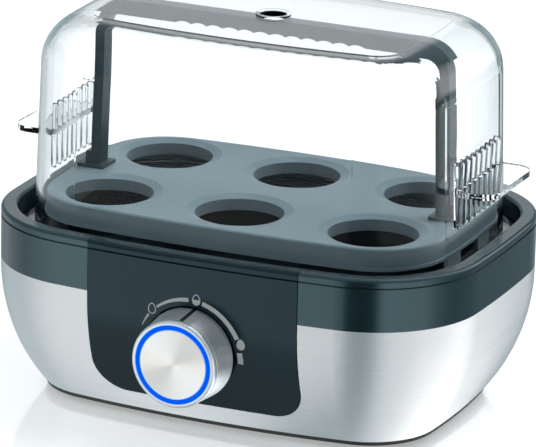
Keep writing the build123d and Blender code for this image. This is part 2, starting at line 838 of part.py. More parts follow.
with BuildPart() as light_guide:
    extrude(front_circle(guide_back_y, light_outer_radius), amount=guide_height)
    extrude(front_circle(guide_back_y, light_inner_radius), amount=guide_height, mode=Mode.SUBTRACT)
    extrude(light_circles(guide_back_y, pipe_radius), amount=guide_back_y - seat_face_y)

with BuildPart() as buzzer:
    extrude(front_circle(board_back_y, buzzer_radius, buzzer_x, buzzer_z), amount=-buzzer_height)
    extrude(front_circle(board_back_y + buzzer_height, small_screw_radius, buzzer_x, buzzer_z),
            amount=small_screw_radius, mode=Mode.SUBTRACT)

with BuildPart() as control_chip:
    with BuildSketch(Plane.XZ.offset(-board_back_y)):
        with Locations((chip_x, dial_z)):
            Rectangle(chip_length, chip_width)
    extrude(amount=-chip_height)
    chamfer(control_chip.edges().group_by(Axis.Y)[-1], chip_height / 4)

with BuildPart() as power_board:
    extrude(flat_box(power_board_z, (power_board_x, power_board_y), power_board_length,
                     power_board_width), amount=board_thickness)
    extrude(flat_circle(power_board_z, small_screw_radius + screw_pass_gap, power_screw_places),
            amount=board_thickness, mode=Mode.SUBTRACT)

with BuildPart() as board_screws:
    for x, z in board_screw_places:
        extrude(front_circle(board_back_y, small_head_radius, x, z), amount=-small_head_height)
        extrude(front_circle(board_back_y, small_screw_radius, x, z),
                amount=board_thickness + small_screw_bite - screw_gap)
    extrude(flat_circle(power_board_top, small_head_radius, power_screw_places),
            amount=small_head_height)
    extrude(flat_circle(power_board_top, small_screw_radius, power_screw_places),
            amount=screw_gap - board_thickness - small_screw_bite)

with BuildPart() as relay:
    extrude(flat_box(power_board_top, (relay_x, power_board_y), relay_length, relay_width),
            amount=relay_height)
    fillet(relay.edges().filter_by(Axis.Z), board_corner / 2)

with BuildPart() as supply_capacitor:
    extrude(flat_circle(power_board_top, capacitor_radius, [(capacitor_x, power_board_y)]),
            amount=capacitor_height)
    fillet(supply_capacitor.edges().group_by(Axis.Z)[-1], capacitor_radius / 8)

with BuildPart() as terminal_block:
    extrude(flat_box(plate_floor_top, (terminal_x, terminal_y), terminal_width, terminal_length),
            amount=terminal_height)
    extrude(flat_circle(plate_floor_top + terminal_height, screw_head_radius, terminal_places),
            amount=-terminal_height / 2, mode=Mode.SUBTRACT)

with BuildPart() as cord_gland:
    with BuildSketch(gland_plane):
        Circle(gland_flange_radius)
    extrude(amount=gland_flange)
    with BuildSketch(gland_plane.offset(-gland_nut_gap - steel_thickness - gland_nut)):
        Circle(gland_radius)
    extrude(amount=gland_nut_gap + steel_thickness + gland_nut)
    with BuildSketch(gland_plane.offset(gland_flange)):
        Circle(gland_radius)
    with BuildSketch(gland_plane.offset(gland_flange + gland_tail)):
        Circle(gland_tip_radius)
    loft(ruled=True)
    with BuildSketch(gland_plane.offset(-2 * gland_nut)):
        Circle(gland_bore)
    extrude(amount=2 * gland_nut + gland_flange + gland_tail, mode=Mode.SUBTRACT)

with BuildPart() as gland_locknut:
    with BuildSketch(gland_plane.offset(-gland_nut_gap - steel_thickness)):
        RegularPolygon(gland_nut_radius, 6)
        Circle(gland_radius + screw_gap, mode=Mode.SUBTRACT)
    extrude(amount=-gland_nut)

# Knob: turned metal sleeve, light ring, spun disc and plastic core on the spindle
with BuildPart() as knob_sleeve:
    with BuildSketch(Plane.XY.offset(dial_z)) as sleeve_profile:
        with BuildLine():
            Polyline(
                (light_outer_radius + knob_fit, knob_front_y),
                (light_outer_radius + knob_fit, knob_back_y),
                (knob_radius - knob_lip_groove, knob_back_y),
                (knob_radius, knob_back_y - knob_lip_groove),
                (knob_front_radius, lip_y + 2 * knob_lip_groove),
                (knob_front_radius - knob_lip_groove, lip_y + knob_lip_groove),
                (knob_front_radius, lip_y),
                (knob_front_radius, knob_front_y + knob_lip_round),
            )
            RadiusArc(
                (knob_front_radius, knob_front_y + knob_lip_round),
                (knob_front_radius - knob_lip_round, knob_front_y),
                knob_lip_round,
            )
            Line(
                (knob_front_radius - knob_lip_round, knob_front_y),
                (light_outer_radius + knob_fit, knob_front_y),
            )
        make_face()
    revolve(axis=dial_axis)
    with BuildSketch(Plane.XZ.offset(-knob_back_y)):
        with Locations((0, dial_z)):
            with PolarLocations(pointer_floor_radius + knob_lip, 1, start_angle=pointer_angle):
                Rectangle(2 * knob_lip, pointer_width)
    extrude(amount=knob_back_y - lip_y - knob_lip_groove, mode=Mode.SUBTRACT)

with BuildPart() as knob_ring:
    revolve(
        dial_profile([
            (light_inner_radius, knob_front_y + face_sink),
            (light_outer_radius, knob_front_y + face_sink),
            (light_outer_radius, hub_back_y),
            (light_inner_radius, hub_back_y),
        ]),
        axis=dial_axis,
    )

with BuildPart() as knob_face:
    extrude(front_circle(core_front_y, light_inner_radius - knob_fit), amount=face_thickness)
    chamfer(knob_face.edges().group_by(Axis.Y)[0], face_sink)

with BuildPart() as knob_core:
    revolve(
        dial_profile([
            (0, core_front_y),
            (light_inner_radius - knob_fit, core_front_y),
            (light_inner_radius - knob_fit, hub_back_y),
            (light_inner_radius - knob_fit - core_wall, hub_back_y),
            (light_inner_radius - knob_fit - core_wall, web_back_y),
            (hub_radius, web_back_y),
            (hub_radius, hub_back_y),
            (0, hub_back_y),
        ]),
        axis=dial_axis,
    )
    extrude(front_circle(hub_back_y, spindle_radius + knob_fit),
            amount=hub_back_y - spindle_flat_start_y, mode=Mode.SUBTRACT)
    extrude(flatted_circle(spindle_flat_start_y, spindle_radius + knob_fit),
            amount=spindle_flat_start_y - web_back_y, mode=Mode.SUBTRACT)

with BuildPart() as hub_clip:
    extrude(front_circle(hub_back_y, hub_radius + clip_wall), amount=clip_length)
    extrude(front_circle(hub_back_y, hub_radius), amount=clip_length, mode=Mode.SUBTRACT)
    with BuildSketch(Plane.XZ.offset(-hub_back_y)):
        with Locations((0, dial_z - hub_radius)):
            Rectangle(clip_slot, hub_radius)
    extrude(amount=clip_length, mode=Mode.SUBTRACT)

with BuildPart() as dial_spindle:
    extrude(front_circle(plunger_back_y, spindle_radius),
            amount=plunger_back_y - spindle_flat_start_y)
    extrude(flatted_circle(spindle_flat_start_y, spindle_radius),
            amount=spindle_flat_start_y - web_back_y - knob_fit)
    extrude(front_circle(collar_back_y, spindle_collar_radius), amount=spindle_collar)

# Egg rack: tray with six dished holes, a skirt with a rolled lip and four legs
with BuildPart() as egg_rack:
    extrude(rack_plan(skirt_bottom, 0), amount=rack_skirt)
    fillet(egg_rack.edges().group_by(Axis.Z)[-1], rack_edge_round)
    extrude(rack_plan(skirt_bottom, -rack_lip), amount=rack_lip_height)
    extrude(rack_plan(skirt_bottom, rack_skirt_wall), amount=rack_skirt - rack_sheet,
            mode=Mode.SUBTRACT)
    extrude(flat_circle(rack_top - rack_sheet, egg_hole_radius + egg_collar_wall, egg_places),
            amount=-egg_collar_height)
    extrude(flat_circle(rack_top, egg_hole_radius, egg_places), amount=-rack_skirt,
            mode=Mode.SUBTRACT)
    with Locations(*[(x, y, rack_top - egg_dish_depth / 2) for x, y in egg_places]):
        Cone(egg_hole_radius, egg_dish_radius, egg_dish_depth, mode=Mode.SUBTRACT)
    for y in (-rack_leg_y, rack_leg_y):
        with BuildSketch(Plane.XY.offset(rack_foot)):
            add(band(0, rack_plan, 0, rack_skirt_wall))
            with Locations((0, y)):
                Rectangle(body_length, rack_leg_length, mode=Mode.INTERSECT)
        extrude(amount=skirt_bottom - rack_foot)
    with Locations(*[(x, 0, rack_top) for x in (-handle_foot_middle, handle_foot_middle)]):
        Box(handle_section + 2 * handle_fit, handle_width + 2 * handle_fit, rack_skirt,
            mode=Mode.SUBTRACT)

# Rack handle: one arch, grooved down the outside of its uprights, with a scalloped grip
with BuildPart() as rack_handle:
    extrude(handle_outline(0, rack_top), amount=handle_width / 2, both=True)
    extrude(handle_outline(handle_section, rack_top), amount=handle_width / 2, both=True,
            mode=Mode.SUBTRACT)
    for x in (-handle_foot_middle, handle_foot_middle):
        extrude(flat_box(rack_top, (x, 0), handle_section + 2 * handle_pad_overhang,
                         handle_width + 2 * handle_pad_overhang), amount=handle_pad_height)
        extrude(flat_box(rack_top, (x, 0), handle_section, handle_width), amount=-handle_tail)
    with BuildSketch(Plane.XZ) as channel:
        add(handle_outline(-handle_section, rack_top + handle_section))
        add(handle_outline(channel_depth, rack_top + handle_section), mode=Mode.SUBTRACT)
        with Locations((0, channel_top + handle_top)):
            Rectangle(2 * handle_foot_x, 2 * handle_top, mode=Mode.SUBTRACT)
    extrude(channel.sketch, amount=handle_width / 2 - channel_wall, both=True, mode=Mode.SUBTRACT)
    with BuildSketch(Plane.XZ):
        with Locations((0, handle_top - handle_section - grip_radius + grip_depth)):
            with GridLocations(grip_pitch, 1, grip_scallops, 1):
                Circle(grip_radius)
    extrude(amount=handle_width, both=True, mode=Mode.SUBTRACT)

# Lid: clear moulded hood with a flange, a steam hole and a ribbed wing at each end
with BuildPart() as lid_hollow:
    extrude(body_plan(lid_foot, lid_inset + lid_wall), amount=lid_top - lid_wall - lid_foot,
            taper=lid_draft)
    fillet(lid_hollow.edges().group_by(Axis.Z)[-1], lid_shoulder - lid_wall)

with BuildPart() as lid_ribs:
    with BuildSketch(Plane.YZ.offset(lid_rib_root)):
        with Locations((0, (rib_bottom + rib_top) / 2)):
            with GridLocations(rib_pitch, 1, rib_count, 1):
                SlotOverall(rib_top - rib_bottom, rib_width, rotation=90)
    extrude(amount=lid_rib_edge - lid_rib_root)
    fillet(lid_ribs.edges().group_by(Axis.X)[-1], rib_round)

with BuildPart() as lid:
    extrude(body_plan(lid_foot, lid_inset), amount=lid_top - lid_foot, taper=lid_draft)
    fillet(lid.edges().group_by(Axis.Z)[-1], lid_shoulder)
    extrude(body_plan(lid_foot, lid_inset - lid_flange_reach), amount=lid_flange_height)
    with BuildSketch(Plane.XY.offset(wing_top)) as wings:
        Rectangle(2 * wing_reach, 2 * wing_half_width)
        fillet(wings.vertices(), wing_corner)
    extrude(amount=-wing_thickness)
    add(lid_ribs.part)
    add(lid_ribs.part.mirror(Plane.YZ))
    extrude(flat_circle(lid_top, vent_radius + vent_rim_width, [(0, 0)]), amount=vent_rim_height)
    add(lid_hollow.part, mode=Mode.SUBTRACT)
    extrude(flat_circle(lid_top + vent_rim_height, vent_radius, [(0, 0)]),
            amount=-2 * lid_wall, mode=Mode.SUBTRACT)

pieces = {
    "steel_shell": steel_shell,
    "trim_ring": trim_ring,
    "control_panel": control_panel,
    "base_plate": base_plate,
    "rubber_feet": rubber_feet,
    "heating_bowl": heating_bowl,
    "bowl_seal": bowl_seal,
    "heat_spreader": heat_spreader,
    "heating_element": heating_element,
    "element_pins": element_pins,
    "element_straps": element_straps,
    "strap_screws": strap_screws,
    "temperature_sensor": temperature_sensor,
    "thermal_fuse": thermal_fuse,
    "standoffs": standoffs,
    "base_screws": base_screws,
    "panel_screws": panel_screws,
    "control_board": control_board,
    "dial_switch": dial_switch,
    "switch_plunger": switch_plunger,
    "status_leds": status_leds,
    "light_guide": light_guide,
    "buzzer": buzzer,
    "control_chip": control_chip,
    "power_board": power_board,
    "board_screws": board_screws,
    "relay": relay,
    "supply_capacitor": supply_capacitor,
    "terminal_block": terminal_block,
    "cord_gland": cord_gland,
    "gland_locknut": gland_locknut,
    "knob_sleeve": knob_sleeve,
    "knob_ring": knob_ring,
    "knob_face": knob_face,
    "knob_core": knob_core,
    "hub_clip": hub_clip,
    "dial_spindle": dial_spindle,
    "egg_rack": egg_rack,
    "rack_handle": rack_handle,
    "lid": lid,
}

os.makedirs("parts", exist_ok=True)
for name, piece in pieces.items():
    piece.part.label = name
    export_step(piece.part, f"parts/{name}.step")
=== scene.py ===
# %% [markdown]
# # An electric egg cooker, dressed for its picture
#
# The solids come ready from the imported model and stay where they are. This notebook gives
# them their finishes, adds the print round the dial, and sets up a plain studio.
# Everything is in metres, +Z is up and the front with the knob faces -Y.

import math

import bpy
from mathutils import Matrix, Vector
from mathutils.bvhtree import BVHTree


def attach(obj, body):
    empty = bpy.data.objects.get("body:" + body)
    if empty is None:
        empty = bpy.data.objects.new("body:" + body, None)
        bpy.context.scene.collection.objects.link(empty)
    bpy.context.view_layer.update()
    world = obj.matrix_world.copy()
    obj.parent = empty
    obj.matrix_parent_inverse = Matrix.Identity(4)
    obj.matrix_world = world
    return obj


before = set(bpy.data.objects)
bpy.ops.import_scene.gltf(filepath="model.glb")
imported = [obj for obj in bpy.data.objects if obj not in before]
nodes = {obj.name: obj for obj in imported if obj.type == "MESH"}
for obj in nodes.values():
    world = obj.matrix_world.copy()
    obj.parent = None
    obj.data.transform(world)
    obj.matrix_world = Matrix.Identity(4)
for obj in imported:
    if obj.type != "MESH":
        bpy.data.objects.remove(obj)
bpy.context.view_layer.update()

# %% [markdown]
# ## Camera
#
# A product picture like this one is taken from well back with a long lens, so the sides of
# the housing hardly converge. The camera is described by where it stands round the object,
# how far above it, and a small roll, because these are the numbers one reads off a picture.

# %% Camera
CAMERA_AZIMUTH = math.radians(23.85)
CAMERA_ELEVATION = math.radians(17.76)
CAMERA_ROLL = math.radians(1.23)
CAMERA_DISTANCE = 1.8624
CAMERA_LENS = 318.5  # millimetres, on a sensor 36 mm wide
CAMERA_SENSOR = 36
LOOK_AT = Vector((-0.0004, 0.0, 0.06755))


def camera_axes(azimuth, elevation, roll):
    """Right, up and backward directions of a camera standing round the object."""
    back = Vector((math.sin(azimuth) * math.cos(elevation),
                   -math.cos(azimuth) * math.cos(elevation), math.sin(elevation)))
    level = Vector((math.cos(azimuth), math.sin(azimuth), 0))
    upward = back.cross(level)
    right = level * math.cos(roll) + upward * math.sin(roll)
    up = upward * math.cos(roll) - level * math.sin(roll)
    return right, up, back


right, up, back = camera_axes(CAMERA_AZIMUTH, CAMERA_ELEVATION, CAMERA_ROLL)
lens = bpy.data.cameras.new("long lens")
lens.lens = CAMERA_LENS
lens.sensor_width = CAMERA_SENSOR
lens.sensor_fit = "HORIZONTAL"
lens.clip_start = 0.05
lens.clip_end = 50
camera = bpy.data.objects.new("camera", lens)
camera.matrix_world = Matrix.Translation(LOOK_AT + back * CAMERA_DISTANCE) @ Matrix(
    (right, up, back)).transposed().to_4x4()
bpy.context.scene.collection.objects.link(camera)
bpy.context.scene.camera = camera
bpy.context.scene.view_settings.view_transform = "Standard"
print("camera at", [round(value, 3) for value in camera.location])

# %% [markdown]
# ## Node helpers
#
# Materials here are node trees written in code. A few small helpers keep the cells short:
# they make a node with its settings, plug a socket with a link or a plain value, and chain
# the nodes that come back again and again: math, noise, a shaded colour and a bump.

# %% Helpers: nodes and sockets
def make_node(tree, kind, **settings):
    """A node with the given settings."""
    made = tree.nodes.new(kind)
    for name, value in settings.items():
        setattr(made, name, value)
    return made


def plug(tree, socket, value):
    """Links a socket to another one, or sets it to a plain value."""
    if isinstance(value, bpy.types.NodeSocket):
        tree.links.new(value, socket)
    else:
        socket.default_value = value


def plug_all(tree, node, values):
    """Plugs several inputs of a node by their names."""
    for name, value in values.items():
        plug(tree, node.inputs[name], value)


print("helpers for nodes ready")

# %% Helpers: small chains of nodes
COLOUR_A, COLOUR_B, COLOUR_RESULT = 6, 7, 2  # where a Mix node keeps its colour sockets


def math_node(tree, operation, *values):
    """The result of a math node whose inputs are sockets or numbers."""
    made = make_node(tree, "ShaderNodeMath", operation=operation)
    for socket, value in zip(made.inputs, values):
        plug(tree, socket, value)
    return made.outputs[0]


def mix_colours(tree, factor, first, second):
    """A blend of two colours."""
    made = make_node(tree, "ShaderNodeMix", data_type="RGBA")
    plug(tree, made.inputs["Factor"], factor)
    plug(tree, made.inputs[COLOUR_A], first)
    plug(tree, made.inputs[COLOUR_B], second)
    return made.outputs[COLOUR_RESULT]


def object_place(tree):
    """The place on the piece, which is the place in the model too, as all share one origin."""
    return make_node(tree, "ShaderNodeTexCoord").outputs["Object"]


def noise(tree, vector, **values):
    """Noise between nought and one over a vector."""
    made = make_node(tree, "ShaderNodeTexNoise")
    plug_all(tree, made, {"Vector": vector, **values})
    return made.outputs["Fac"]


def shaded(tree, colour, tone):
    """A colour made lighter or darker by a factor."""
    made = make_node(tree, "ShaderNodeVectorMath", operation="SCALE")
    plug(tree, made.inputs[0], colour)
    plug(tree, made.inputs["Scale"], tone)
    return made.outputs[0]


def bump_normal(tree, height, strength, depth):
    """A normal that makes the surface seem uneven, by up to a depth in metres."""
    made = make_node(tree, "ShaderNodeBump")
    plug_all(tree, made, {"Distance": depth, "Strength": strength, "Height": height})
    return made.outputs[0]


print("helpers for chains ready")

# %% Helpers: groups
SURFACE_OUTPUTS = {"Color": "Color", "Roughness": "Float", "Normal": "Vector"}


def new_group(name, inputs, outputs):
    """An empty shader group with named sockets, and its input and output nodes."""
    tree = bpy.data.node_groups.new(name, "ShaderNodeTree")
    for socket, (kind, default) in inputs.items():
        made = tree.interface.new_socket(socket, in_out="INPUT", socket_type="NodeSocket" + kind)
        made.default_value = default
    for socket, kind in outputs.items():
        tree.interface.new_socket(socket, in_out="OUTPUT", socket_type="NodeSocket" + kind)
    return tree, make_node(tree, "NodeGroupInput"), make_node(tree, "NodeGroupOutput")


def add_group(tree, group, **values):
    """Places a group in a material; a value's name is the socket's, with _ for a space."""
    placed = make_node(tree, "ShaderNodeGroup", node_tree=group)
    for name, value in values.items():
        placed.inputs[name.replace("_", " ")].default_value = value
    return placed


print("a surface group puts out", ", ".join(SURFACE_OUTPUTS))

# %% [markdown]
# ## Moulded plastic
#
# Injection moulded parts carry the grain of their mould, and handling leaves large, faint
# patches that are a little duller. One group makes both: fine noise for the grain's height,
# wide noise for the patches. The grain is bump because it is far finer than a mesh could be.

# %% Group: moulded surface
GRAIN_DEPTH = 0.0001
GRAIN_TONE = 0.1
PATCH_SCALE = 38


def moulded_group():
    """Grain and duller patches, as on an injection moulded part."""
    tree, given, result = new_group(
        "moulded surface",
        {"Color": ("Color", (0.5, 0.5, 0.5, 1)), "Roughness": ("Float", 0.4),
         "Grain Scale": ("Float", 3000.0), "Grain Height": ("Float", 0.2),
         "Patches": ("Float", 0.08)}, SURFACE_OUTPUTS)
    values = given.outputs
    place = object_place(tree)
    grain = noise(tree, place, Scale=values["Grain Scale"], Detail=3)
    patches = noise(tree, place, Scale=PATCH_SCALE, Detail=4)
    duller = math_node(tree, "MULTIPLY", math_node(tree, "SUBTRACT", patches, 0.5),
                       values["Patches"])
    tone = math_node(tree, "MULTIPLY_ADD", grain, GRAIN_TONE, 1 - GRAIN_TONE / 2)
    plug_all(tree, result, {
        "Color": shaded(tree, values["Color"], tone),
        "Roughness": math_node(tree, "ADD", values["Roughness"], duller),
        "Normal": bump_normal(tree, grain, values["Grain Height"], GRAIN_DEPTH)})
    return tree


moulded_surface = moulded_group()
print("group:", moulded_surface.name)

# %% [markdown]
# ## Brushed and turned metal
#
# Brushing leaves lines in one direction. Noise that is stretched along that direction gives
# their height, their tone and the way each line scatters light differently. For turned
# pieces the lines are circles, so the noise runs over the distance from the axis instead.

# %% Group: brushed surface
LINE_DEPTH = 0.00005
LINE_NOISE = (0.3, 0.7)  # nearly all of the noise lies between these
LINE_INPUTS = {
    "Color": ("Color", (0.7, 0.7, 0.7, 1)), "Lines": ("Vector", (20, 20, 2500)),
    "Low Roughness": ("Float", 0.2), "High Roughness": ("Float", 0.4),
    "Line Height": ("Float", 0.3), "Line Tone": ("Float", 0.1)}


def metal_lines(tree, vector, given, result, painted_light_tone=0.0):
    """Tone, roughness and height of metal lines, from noise over a stretched vector, plus any
    painted light tone such as the disc's fan.
    """
    values = given.outputs
    stretch = make_node(tree, "ShaderNodeVectorMath", operation="MULTIPLY")
    plug(tree, stretch.inputs[0], vector)
    plug(tree, stretch.inputs[1], values["Lines"])
    depth = noise(tree, stretch.outputs[0], Scale=1, Detail=4, Roughness=0.6)
    roughness = make_node(tree, "ShaderNodeMapRange")
    plug_all(tree, roughness, {
        "Value": depth, "From Min": LINE_NOISE[0], "From Max": LINE_NOISE[1],
        "To Min": values["Low Roughness"], "To Max": values["High Roughness"]})
    change = math_node(tree, "MULTIPLY", math_node(tree, "SUBTRACT", depth, 0.5),
                       values["Line Tone"])
    tone = math_node(tree, "ADD", math_node(tree, "ADD", change, painted_light_tone), 1.0)
    plug_all(tree, result, {
        "Color": shaded(tree, values["Color"], tone), "Roughness": roughness.outputs[0],
        "Normal": bump_normal(tree, depth, values["Line Height"], LINE_DEPTH)})


def brushed_group():
    """Straight brush lines."""
    tree, given, result = new_group("brushed surface", LINE_INPUTS, SURFACE_OUTPUTS)
    metal_lines(tree, object_place(tree), given, result)
    return tree


brushed_surface = brushed_group()
print("group:", brushed_surface.name)

# %% [markdown]
# The dial's axis runs straight back through the panel. One group measures a point's distance
# from it. The same group gives a fan: light and dark quarters round the axis, painted into the
# disc's colour as highlights and shade, which is how a spun disc looks under several soft lamps.

# %% Groups: distance from the dial's axis, and turned surface
DIAL_HEIGHT = 0.0361


def dial_radius_group():
    """Distance from the dial's axis, place along it, and a painted fan of light and dark quarters
    round it.
    """
    tree, _, result = new_group(
        "dial radius", {}, {"Radius": "Float", "Depth": "Float", "Fan": "Float"})
    split = make_node(tree, "ShaderNodeSeparateXYZ")
    plug(tree, split.inputs[0], object_place(tree))
    across = split.outputs["X"]
    height = math_node(tree, "SUBTRACT", split.outputs["Z"], DIAL_HEIGHT)
    squares = math_node(tree, "ADD", math_node(tree, "MULTIPLY", across, across),
                        math_node(tree, "MULTIPLY", height, height))
    radius = math_node(tree, "SQRT", squares)
    # Painted highlights and shade: the fan is light and dark by quarters round the axis.
    corner = math_node(tree, "MULTIPLY", across, height)
    leaning = math_node(tree, "DIVIDE", corner, math_node(tree, "MULTIPLY", radius, radius))
    plug_all(tree, result, {"Radius": radius, "Depth": split.outputs["Y"],
                            "Fan": math_node(tree, "MULTIPLY", leaning, -2.0)})
    return tree


dial_radius = dial_radius_group()


def turned_group():
    """Circular lines round the dial's axis, with a painted fan of highlights and shade."""
    tree, given, result = new_group(
        "turned surface", {**LINE_INPUTS, "Fan": ("Float", 0.0)}, SURFACE_OUTPUTS)
    measured = add_group(tree, dial_radius)
    joined = make_node(tree, "ShaderNodeCombineXYZ")
    plug_all(tree, joined, {"X": measured.outputs["Radius"], "Y": measured.outputs["Depth"]})
    # The painted fan of highlights and shade, at the strength the group is given.
    painted_fan = math_node(tree, "MULTIPLY", measured.outputs["Fan"], given.outputs["Fan"])
    metal_lines(tree, joined.outputs[0], given, result, painted_fan)
    return tree


turned_surface = turned_group()
print("groups:", dial_radius.name, "and", turned_surface.name)

# %% [markdown]
# ## Materials from the groups
#
# Each finish is a Principled BSDF fed by one group. Numbers that are the same all over the
# piece, such as metallic or the coat, are set on the shader itself. Brushed metal also
# stretches its highlights across the lines: the tangent says which way the lines run, and a
# quarter turn of the anisotropy lays the highlight across them.

# %% Material maker
METAL = {"Metallic": 1.0}
BRUSHED = {"Metallic": 1.0, "Anisotropic": 0.93, "Anisotropic Rotation": 0.25}
COOL_TINT = (0.56, 0.88, 1.0, 1)


def new_material(name):
    """A material with its node tree and its Principled BSDF."""
    made = bpy.data.materials.new(name)
    made.use_nodes = True
    return made, made.node_tree, made.node_tree.nodes["Principled BSDF"]


def finish(name, group, shader_values, **group_values):
    """A material whose colour, roughness and normal come from a surface group."""
    made, tree, shader = new_material(name)
    surface = add_group(tree, group, **group_values)
    for socket, source in (("Base Color", "Color"), ("Roughness", "Roughness"),
                           ("Normal", "Normal")):
        tree.links.new(surface.outputs[source], shader.inputs[socket])
    plug_all(tree, shader, shader_values)
    return made


def radial_tangent(material, axis):
    """Brush lines that run round an axis, for the shader's stretched highlights."""
    tree = material.node_tree
    tangent = make_node(tree, "ShaderNodeTangent", direction_type="RADIAL", axis=axis)
    tree.links.new(tangent.outputs[0], tree.nodes["Principled BSDF"].inputs["Tangent"])


def cool_gloss(level):
    """Gloss of a given strength with the slightly blue sheen of the dark plastics."""
    return {"Specular IOR Level": level, "Specular Tint": COOL_TINT}


print("material maker ready")

# %% [markdown]
# ### Housing
#
# The belly is drawn stainless steel, brushed level all round, so its highlights spread up
# and down. The collar and the control panel are the same dark, slightly blue plastic, but
# the panel mirrors less. The base and the feet stay out of the light, and get plain finishes.

# %% Housing materials
steel = finish("brushed belly steel", brushed_surface, BRUSHED,
               Color=(0.90, 0.91, 0.915, 1), Lines=(16, 16, 1900), Low_Roughness=0.48,
               High_Roughness=0.6, Line_Height=0.5, Line_Tone=0.3)
radial_tangent(steel, "Z")
collar = finish("collar plastic", moulded_surface, cool_gloss(0.85),
                Color=(0.006, 0.014, 0.017, 1), Roughness=0.2, Grain_Scale=2600,
                Grain_Height=0.1, Patches=0.06)
panel = finish("panel plastic", moulded_surface, cool_gloss(0.33),
               Color=(0.004, 0.010, 0.013, 1), Roughness=0.18, Grain_Scale=2600,
               Grain_Height=0.06, Patches=0.06)
base = finish("base plastic", moulded_surface, {}, Color=(0.012, 0.012, 0.013, 1),
              Roughness=0.5, Grain_Scale=1800, Grain_Height=0.35, Patches=0.1)
rubber = finish("foot rubber", moulded_surface, {}, Color=(0.02, 0.02, 0.02, 1),
                Roughness=0.75, Grain_Scale=900, Grain_Height=0.5, Patches=0.15)
print("housing:", steel.name, collar.name, panel.name, base.name, rubber.name)

# %% [markdown]
# ### Knob
#
# The sleeve is turned on a lathe and the disc is spun, so both carry fine circles. The
# pointer is a groove along the sleeve, and its floor is coloured dark and not metal: a mask picks
# it out by its distance from the dial's axis, so the dark floor needs no drawing of its own.

# %% Sleeve and disc
POINTER_RADIUS = 0.0173
POINTER_START = -0.0848
POINTER_DARK = (0.01, 0.012, 0.014, 1)


def darken_pointer(material):
    """A dark colour, not metal, on the floor of the pointer groove, which lies deeper than the
    sleeve.
    """
    tree = material.node_tree
    shader = tree.nodes["Principled BSDF"]
    metal_colour = shader.inputs["Base Color"].links[0].from_socket
    measured = add_group(tree, dial_radius)
    deep = math_node(tree, "LESS_THAN", measured.outputs["Radius"], POINTER_RADIUS)
    behind_lip = math_node(tree, "GREATER_THAN", measured.outputs["Depth"], POINTER_START)
    groove_floor = math_node(tree, "MULTIPLY", deep, behind_lip)
    plug_all(tree, shader, {
        "Base Color": mix_colours(tree, groove_floor, metal_colour, POINTER_DARK),
        "Metallic": math_node(tree, "SUBTRACT", 1.0, groove_floor)})


sleeve = finish("turned knob steel", turned_surface, {**BRUSHED, "Anisotropic": 0.82},
                Color=(0.68, 0.72, 0.74, 1), Lines=(2200, 2200, 0), Low_Roughness=0.32,
                High_Roughness=0.44, Line_Height=0.35, Line_Tone=0.35)
radial_tangent(sleeve, "Y")
darken_pointer(sleeve)
# The disc's colour carries a painted fan of highlights and shade.
spun = finish("spun disc steel", turned_surface, BRUSHED,
              Color=(0.97, 0.95, 0.92, 1), Lines=(3000, 0, 0), Low_Roughness=0.42,
              High_Roughness=0.54, Line_Height=0.3, Line_Tone=0.1, Fan=0.085)
radial_tangent(spun, "Y")
print("knob:", sleeve.name, spun.name)

# %% [markdown]
# The ring between sleeve and disc is clear plastic with lamps behind it. It glows blue, with a
# painted highlight of near white where its edges would catch the light. A ramp over the distance
# from the axis gives both colours, and the ring shines by itself, so no lamp has to hide behind
# it.

# %% Lit ring
RING_RADII = (0.0136, 0.0159)
RING_BLUE = (0.0, 0.10, 0.86, 1)
RING_EDGE_HIGHLIGHT = (0.45, 0.68, 1, 1)


def glowing_ring():
    """Plastic that glows blue, with a painted highlight on its edges."""
    made, tree, shader = new_material("lit ring")
    measured = add_group(tree, dial_radius)
    place = make_node(tree, "ShaderNodeMapRange")
    plug_all(tree, place, {"Value": measured.outputs["Radius"], "From Min": RING_RADII[0],
                           "From Max": RING_RADII[1]})
    colours = make_node(tree, "ShaderNodeValToRGB")
    plug(tree, colours.inputs["Fac"], place.outputs[0])
    elements = colours.color_ramp.elements
    # Painted highlight: both ends of the ramp, at the ring's edges, are near white.
    for element, position in zip(elements, (0.02, 0.98)):
        element.position = position
        element.color = RING_EDGE_HIGHLIGHT
    for position in (0.14, 0.86):
        elements.new(position).color = RING_BLUE
    plug_all(tree, shader, {
        "Emission Color": colours.outputs[0], "Emission Strength": 1.0,
        "Base Color": (0, 0.01, 0.05, 1), "Specular IOR Level": 0.0, "Roughness": 0.25})
    return made


ring = glowing_ring()
print("knob:", ring.name)

# %% [markdown]
# ### Clear lid
#
# The lid is glass-like plastic with a real wall thickness, so the bending of light at its
# round shoulder comes by itself. Lamps would leave the inside dark, because light that is
# bent on its way to a lamp is hard to find, so shadow rays pass straight through. A wall with
# two glossy sides would also veil what is inside, so a dark tint weakens what it mirrors.

# %% Lid material
PLASTIC_BEND = 1.49
WEAK_MIRROR = (0.12, 0.12, 0.12, 1)


def clear_plastic(name, tint, roughness):
    """Clear plastic whose shadows let the lamps through."""
    made, tree, shader = new_material(name)
    surface = add_group(tree, moulded_surface, Color=tint, Roughness=roughness,
                        Grain_Scale=40, Patches=roughness)
    plug_all(tree, shader, {
        "Base Color": surface.outputs["Color"], "Roughness": surface.outputs["Roughness"],
        "Transmission Weight": 1.0, "Specular Tint": WEAK_MIRROR, "IOR": PLASTIC_BEND})
    paths = make_node(tree, "ShaderNodeLightPath")
    passing = make_node(tree, "ShaderNodeBsdfTransparent")
    chosen = make_node(tree, "ShaderNodeMixShader")
    for socket, source in zip(chosen.inputs, (paths.outputs["Is Shadow Ray"],
                                              shader.outputs[0], passing.outputs[0])):
        tree.links.new(source, socket)
    tree.links.new(chosen.outputs[0], tree.nodes["Material Output"].inputs["Surface"])
    return made


clear_lid = clear_plastic("clear lid plastic", (0.905, 0.92, 0.925, 1), 0.015)
clear_guide = clear_plastic("clear guide plastic", (0.9, 0.96, 1, 1), 0.05)
print("clear:", clear_lid.name, clear_guide.name)
